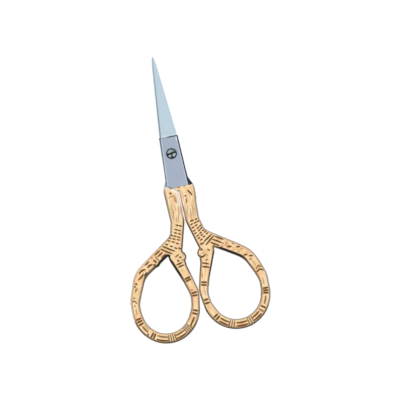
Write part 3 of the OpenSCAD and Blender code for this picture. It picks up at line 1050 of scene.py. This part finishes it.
def from_axis(maker, x, y):
    """The distance from the pivot's axis."""
    place = maker.node("ShaderNodeCombineXYZ", inputs={"X": x, "Y": y})
    return maker.node("ShaderNodeVectorMath", {"operation": "LENGTH"}, {0: place}, output="Value")


def layered(tone, *layers):
    """A tone with others laid over it, each where its mask is 1."""
    for mask, over in layers:
        tone = blend(mask, tone, over)
    return tone


# %% [markdown]
# ## Gold plate
# The plating is thin, warm and a little uneven: peach where the copper below shows through, yellower where
# the layer is thick, with a fine light and dark grain whose light flecks also stand in as small painted
# highlights. The polishing cloth went along the bars, so streaks follow the outline, and on the shanks faint
# barbs run lengthwise.
# The brow of each bow is redder. The lacquer, the wear, the tarnish and the bands of painted light and shade
# lie over all this. What is tarnished, grey on a side wall or painted dark is no longer a mirror, so those
# places are less metallic and rougher.

# %% Grain, streaks and barbs
gold, shader, maker = new_material("gold plate")
x, y, _ = axes(maker)
patches = surface_noise(maker, 2.2).step(0.38, 0.62)
fine = surface_noise(maker, 0.6, 4.0)
along_outline = {"X": attribute(maker, "inset") * MM, "Y": x * 0.08, "Z": y * 0.08}
streaks = maker.node("ShaderNodeTexNoise", inputs={
    "Vector": maker.node("ShaderNodeCombineXYZ", inputs=along_outline),
    "Scale": 1 / (0.4 * MM),
    "Detail": 2.0,
})
barbs = surface_noise(maker, 0.42, 2.0, stretch=(1.0, 0.09, 0.3))
on_shank = y.step(-26 * MM, -23 * MM)
on_arm = abs(x).step(8 * MM, 11 * MM) * y.step(-43 * MM, -39 * MM)
plate = layered(
    blend(patches, colour(1.0, 0.61, 0.34), colour(0.97, 0.68, 0.34)),
    # The light flecks of the grain are partly painted highlights.
    (fine.step(0.48, 0.66) * 0.7, colour(1.0, 0.81, 0.52)),
    ((1 - fine).step(0.5, 0.72) * 0.3, colour(0.76, 0.43, 0.19)),
    (streaks.step(0.5, 0.6) * 0.7, colour(1.0, 0.85, 0.57)),
    ((1 - streaks).step(0.55, 0.68) * 0.4, colour(0.66, 0.40, 0.18)),
    ((1 - fine).step(0.42, 0.62) * on_arm * 0.65, colour(0.80, 0.44, 0.20)),
    (barbs.step(0.5, 0.62) * on_shank * 0.6, colour(1.0, 0.84, 0.58)),
    ((1 - barbs).step(0.56, 0.68) * on_shank * 0.55, colour(0.62, 0.42, 0.20)),
)
print(len(gold.node_tree.nodes), "nodes for the bare plate")

# %% Wear, lacquer and bands
BRIGHT_GOLD = colour(1.0, 0.88, 0.62)
SLIT_SHADOW_RED = colour(0.62, 0.22, 0.13)
HIGHLIGHT_CREAM = colour(1.0, 0.93, 0.80)
OLD_LACQUER = colour(0.20, 0.08, 0.02)
WALL_GREY = colour(0.62, 0.51, 0.38)
OLIVE_GREY = colour(0.58, 0.48, 0.36)
PAINTED_SHADE_BLACK = colour(0.040, 0.032, 0.024)

lacquer, worn, soot, tarnish, copper, polish = (
    attribute(maker, name) for name in ("lacquer", "worn", "soot", "tarnish", "copper", "polish"))
side_wall = attribute(maker, "slope").step(0.42, 0.68)
plate = layered(
    plate,
    (worn * 0.4, BRIGHT_GOLD),
    # A painted reddish shadow along the slit.
    (copper * 0.8, SLIT_SHADOW_RED),
    # A painted cream highlight on the shoulder, the seam and the slit.
    (polish * 0.85, HIGHLIGHT_CREAM),
    (lacquer * 0.93, OLD_LACQUER),
    (side_wall * (1 - polish), WALL_GREY),
    # Partly tarnish, partly painted shade on rims that face the right of the picture.
    (tarnish, OLIVE_GREY),
    # Painted shade: the black band under the edges.
    (soot, PAINTED_SHADE_BLACK),
)
dull = side_wall.larger(tarnish * 0.7).larger(soot)
bump = {"Height": surface_noise(maker, 0.4), "Strength": 0.2, "Distance": 0.03 * MM}
connect(shader, {
    "Base Color": plate,
    "Metallic": 1 - dull,
    "Roughness": 0.22 + fine * 0.12 + lacquer * 0.25 + dull * 0.35,
    "Specular IOR Level": 0.2,
    "Normal": maker.node("ShaderNodeBump", inputs=bump),
})
print(len(gold.node_tree.nodes), "nodes for the gold plate")

# %% Put the handles in their places
for thing, node, body in (
    (right_handle, "front_handle", "front_half"),
    (left_handle, "back_handle", "back_half"),
):
    write_points(thing, read_points(thing) * MM)
    thing.data.materials.clear()
    thing.data.materials.append(gold)
    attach(thing, body)
    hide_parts(node)
    print(thing.name, "rides on", body)

# %% [markdown]
# ## Blades and screw
# The steel parts are ground, so their faces are true and their edges crisp, and the CAD mesh already has that
# shape. A real ground edge still has a hair-thin rounding that catches the light. So each is copied, its flat
# faces are cleaned of their triangles, and every edge gets a very small bevel. Beside the seam the CAD rounds
# the end of each heel. There it is pressed flat, to meet the true edge of the handle.

# %% Ground steel pieces
SEAM_STRIP = (-0.5, 0.1)
NEAR_FACE = 1.0
FLAT_ANGLE = math.radians(0.2)
EDGE_ANGLE = math.radians(24)
CREASE_ANGLE = math.radians(18)

def flatten_seam(bm, side):
    """Presses the outer rounding beside the seam flat, on the front half (1) or the back half (-1)."""
    for vertex in bm.verts:
        x, y, z = vertex.co
        seam = past_shoulder(-x * side, y)
        if SEAM_STRIP[0] < seam < SEAM_STRIP[1] and (MIDDLE - z) * side > NEAR_FACE:
            vertex.co.z = MIDDLE - MIDDLE * side


def ground_piece(node, name, bevel, side=0):
    """A copy of a steel node, in metres, with clean flat faces and fine bevels."""
    thing = millimetre_copy(node, name)
    bm = bmesh.new()
    bm.from_mesh(thing.data)
    if side:
        flatten_seam(bm, side)
    bmesh.ops.dissolve_limit(bm, angle_limit=FLAT_ANGLE, verts=bm.verts, edges=bm.edges)
    sharp = [edge for edge in bm.edges if len(edge.link_faces) == 2 and edge.calc_face_angle() > EDGE_ANGLE]
    bmesh.ops.bevel(
        bm, geom=sharp, offset=bevel, offset_type="OFFSET", segments=2, profile=0.5, affect="EDGES",
        material=-1, clamp_overlap=True,
    )
    bmesh.ops.scale(bm, vec=(MM,) * 3, verts=bm.verts)
    bm.to_mesh(thing.data)
    bm.free()
    thing.data.materials.clear()
    thing.data.shade_smooth()
    thing.data.set_sharp_from_angle(angle=CREASE_ANGLE)
    print(name, len(thing.data.polygons), "faces")
    return thing


upper_blade = ground_piece("front_blade", "upper_blade", 0.05, 1)
lower_blade = ground_piece("back_blade", "lower_blade", 0.05, -1)
domed_screw = ground_piece("pivot_screw", "domed_screw", 0.03)

# %% [markdown]
# ## Ground steel
# The heel is greyer than the blade, which was polished once more. Painted shade darkens each chamfer, the
# right one more than the left, and the step between the heel and the blade. A painted highlight runs inside
# each chamfer and along the ledge above the step, with a painted glint beside the right chamfer. These lines
# follow the heel's straight edges, so a sum on the Object coordinates gives the distance from each. The lower
# half is the upper one turned over, so its distances are taken with X and Z turned round as well. Where the
# plating runs over the back heel's shoulder, it is painted pale cream, partly its colour and partly a painted
# highlight. Round the screw,
# painted shade darkens the recess: black on its lower side, with a painted sheen on its upper side.

# %% Places on the steel
STEP_Y = 6.2
HEEL_TOP = 5.8
RIGHT_EDGE = (3.07, 0.0392)
LEFT_EDGE = (2.77, 0.0623)
RECESS_SHADE_RADIUS = 1.84

def between(value, low, high, soft=0.08):
    """1 between two distances in millimetres, with soft ends."""
    above_low = value.step((low - soft) * MM, (low + soft) * MM)
    return above_low * value.step((high + soft) * MM, (high - soft) * MM)


def past_edges(x, y):
    """How far a place lies outside the heel's right and left edge. Below its top each edge leans outwards."""
    below = HEEL_TOP * MM - y
    right = x - (below * RIGHT_EDGE[1] + RIGHT_EDGE[0] * MM)
    left = (x + (below * LEFT_EDGE[1] + LEFT_EDGE[0] * MM)) * -1
    return right, left


# %% Ground steel
HEEL_STEEL = colour(0.395, 0.463, 0.58)
BLADE_STEEL = colour(0.555, 0.695, 0.785)
EDGE_HIGHLIGHT = colour(0.66, 0.72, 0.80)
CHAMFER_SHADE = colour(0.035, 0.045, 0.060)
GLINT = colour(0.90, 0.94, 1.0)
STEP_SHADE = colour(0.05, 0.07, 0.095)
STEP_LIGHT = colour(0.75, 0.86, 0.92)
PALE_PLATE_HIGHLIGHT = colour(0.98, 0.90, 0.76)
RECESS_SHADE_BLACK = colour(0.015, 0.02, 0.03)
RECESS_SHEEN = colour(0.34, 0.38, 0.44)
RING_GREY = colour(0.36, 0.42, 0.50)

def ground_steel(name, side):
    """The steel of one half: side 1 for the front half and -1 for the back."""
    material, shader, maker = new_material(name)
    x, y, z = axes(maker)
    if side < 0:
        x, z = x * -1, THICKNESS * MM - z
    right, left = past_edges(x, y)
    radius = from_axis(maker, x, y)
    cloud = surface_noise(maker, 4.0)
    lines = surface_noise(maker, 0.12, 2.0, stretch=(0.05, 1.0, 1.0))
    blade = y.step((STEP_Y - 0.05) * MM, (STEP_Y + 0.05) * MM)
    heel = 1 - blade
    # Painted highlight inside each chamfer.
    bright = (between(right, -0.5, -0.12) + between(left, -0.45, -0.12)).clamped() * heel
    # Painted shade on the chamfers, stronger on the right.
    dark = (right.step(-0.22 * MM, -0.06 * MM) + left.step(-0.02 * MM, 0.1 * MM) * 0.5).clamped()
    dark = dark * heel * z.step(1.7 * MM, 1.85 * MM)
    # A painted glint beside the right chamfer.
    glint = between(right, -0.6, -0.2, 0.12) * between(y, 4.5, 5.5, 0.4)
    # Painted shade in the step, and a painted highlight on the ledge above it.
    step_shade_line = between(y, 5.78, 6.25) * (0.05 + x.step(-1.2 * MM, 0.8 * MM) * 0.95)
    ledge = between(y, 6.25, 6.8, 0.15) * (0.4 + between(x, -1.8, -0.8, 0.3) * 0.6)
    # The plating over the back heel's shoulder, painted pale as a highlight.
    plating_and_highlight = z.step(1.63 * MM, 1.57 * MM) * y.step(-10.5 * MM, -10.6 * MM)
    # Painted shade in the screw's recess, black below and with a painted sheen above.
    recess_shade = radius.step((RECESS_SHADE_RADIUS + 0.06) * MM, (RECESS_SHADE_RADIUS - 0.06) * MM) * z.step(3.22 * MM, 3.1 * MM)
    ring = radius.step(1.80 * MM, 1.86 * MM) * radius.step(2.12 * MM, 2.06 * MM)
    ring = ring * z.step(2.9 * MM, 3.0 * MM)
    tone = layered(
        blend(blade, HEEL_STEEL, BLADE_STEEL),
        (cloud.step(0.3, 0.7) * 0.2, colour(0.50, 0.57, 0.62)),
        (lines.step(0.5, 0.8) * 0.2, colour(0.26, 0.31, 0.38)),
        (bright * 0.55, EDGE_HIGHLIGHT),
        (dark * 0.95, CHAMFER_SHADE),
        (glint * 0.8, GLINT),
        (step_shade_line, STEP_SHADE),
        (ledge * 0.7, STEP_LIGHT),
        (plating_and_highlight, PALE_PLATE_HIGHLIGHT),
        (recess_shade, blend(y.step(-0.3 * MM, 0.9 * MM), RECESS_SHADE_BLACK, RECESS_SHEEN)),
        (ring, RING_GREY),
    )
    bump = {"Height": lines, "Strength": 0.2, "Distance": 0.01 * MM}
    connect(shader, {
        "Base Color": tone,
        "Metallic": 1 - (plating_and_highlight + ring).clamped() * 0.8,
        "Roughness": 0.24 + lines * 0.16 + recess_shade * 0.3,
        "Normal": maker.node("ShaderNodeBump", inputs=bump),
    })
    print(name, len(material.node_tree.nodes), "nodes")
    return material


# %% Put the blades in their places
for thing, node, body, side in (
    (upper_blade, "front_blade", "front_half", 1),
    (lower_blade, "back_blade", "back_half", -1),
):
    thing.data.materials.append(ground_steel(f"ground steel of the {thing.name}", side))
    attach(thing, body)
    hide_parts(node)
    print(thing.name, "rides on", body)

# %% [markdown]
# ## The screw
# The domed head is turned and polished, then driven home with a driver. Its slot and the ring round the
# dome's rim are painted shade, nearly black, and the slot's dark band sits a little off the slot, towards the
# top. The dome is a small mirror, and its reflections are painted: one bright patch above the slot and one on
# each side below.

# %% Screw steel
SLOT_TURN = math.radians(9)
SLOT_SHIFT = 0.12
DIM_STEEL = colour(0.09, 0.13, 0.145)
BRIGHT_STEEL = colour(0.70, 0.78, 0.82)
SLOT_SHADE_BLACK = colour(0.03, 0.04, 0.05)

screw_steel, shader, maker = new_material("screw steel with painted light")
x, y, _ = axes(maker)
across = y * math.cos(SLOT_TURN) - x * math.sin(SLOT_TURN)
marks = surface_noise(maker, 0.3, 3.0)
# Painted reflections: bright patches above the slot and on each side below it.
above = across.step(0.3 * MM, 0.7 * MM) * (0.25 + x.step(0.9 * MM, -0.9 * MM) * 0.35)
below = across.step(0, -0.3 * MM) * abs(x).step(0.2 * MM, 0.8 * MM) * 0.9
# Painted shade in the slot and round the dome's rim.
slot = abs(across - SLOT_SHIFT * MM).step(0.44 * MM, 0.28 * MM)
slot_and_rim_shade = (slot + from_axis(maker, x, y).step(1.3 * MM, 1.55 * MM) * 0.8).clamped()
connect(shader, {
    "Base Color": layered(
        DIM_STEEL,
        ((above + below) * (0.7 + marks * 0.5), BRIGHT_STEEL),
        (slot_and_rim_shade * 0.95, SLOT_SHADE_BLACK),
    ),
    "Metallic": 1.0,
    "Roughness": 0.16 + marks * 0.12 + slot_and_rim_shade * 0.2,
})
domed_screw.data.materials.append(screw_steel)
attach(domed_screw, "back_half")
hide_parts("pivot_screw")
print(len(screw_steel.node_tree.nodes), "nodes for the screw")
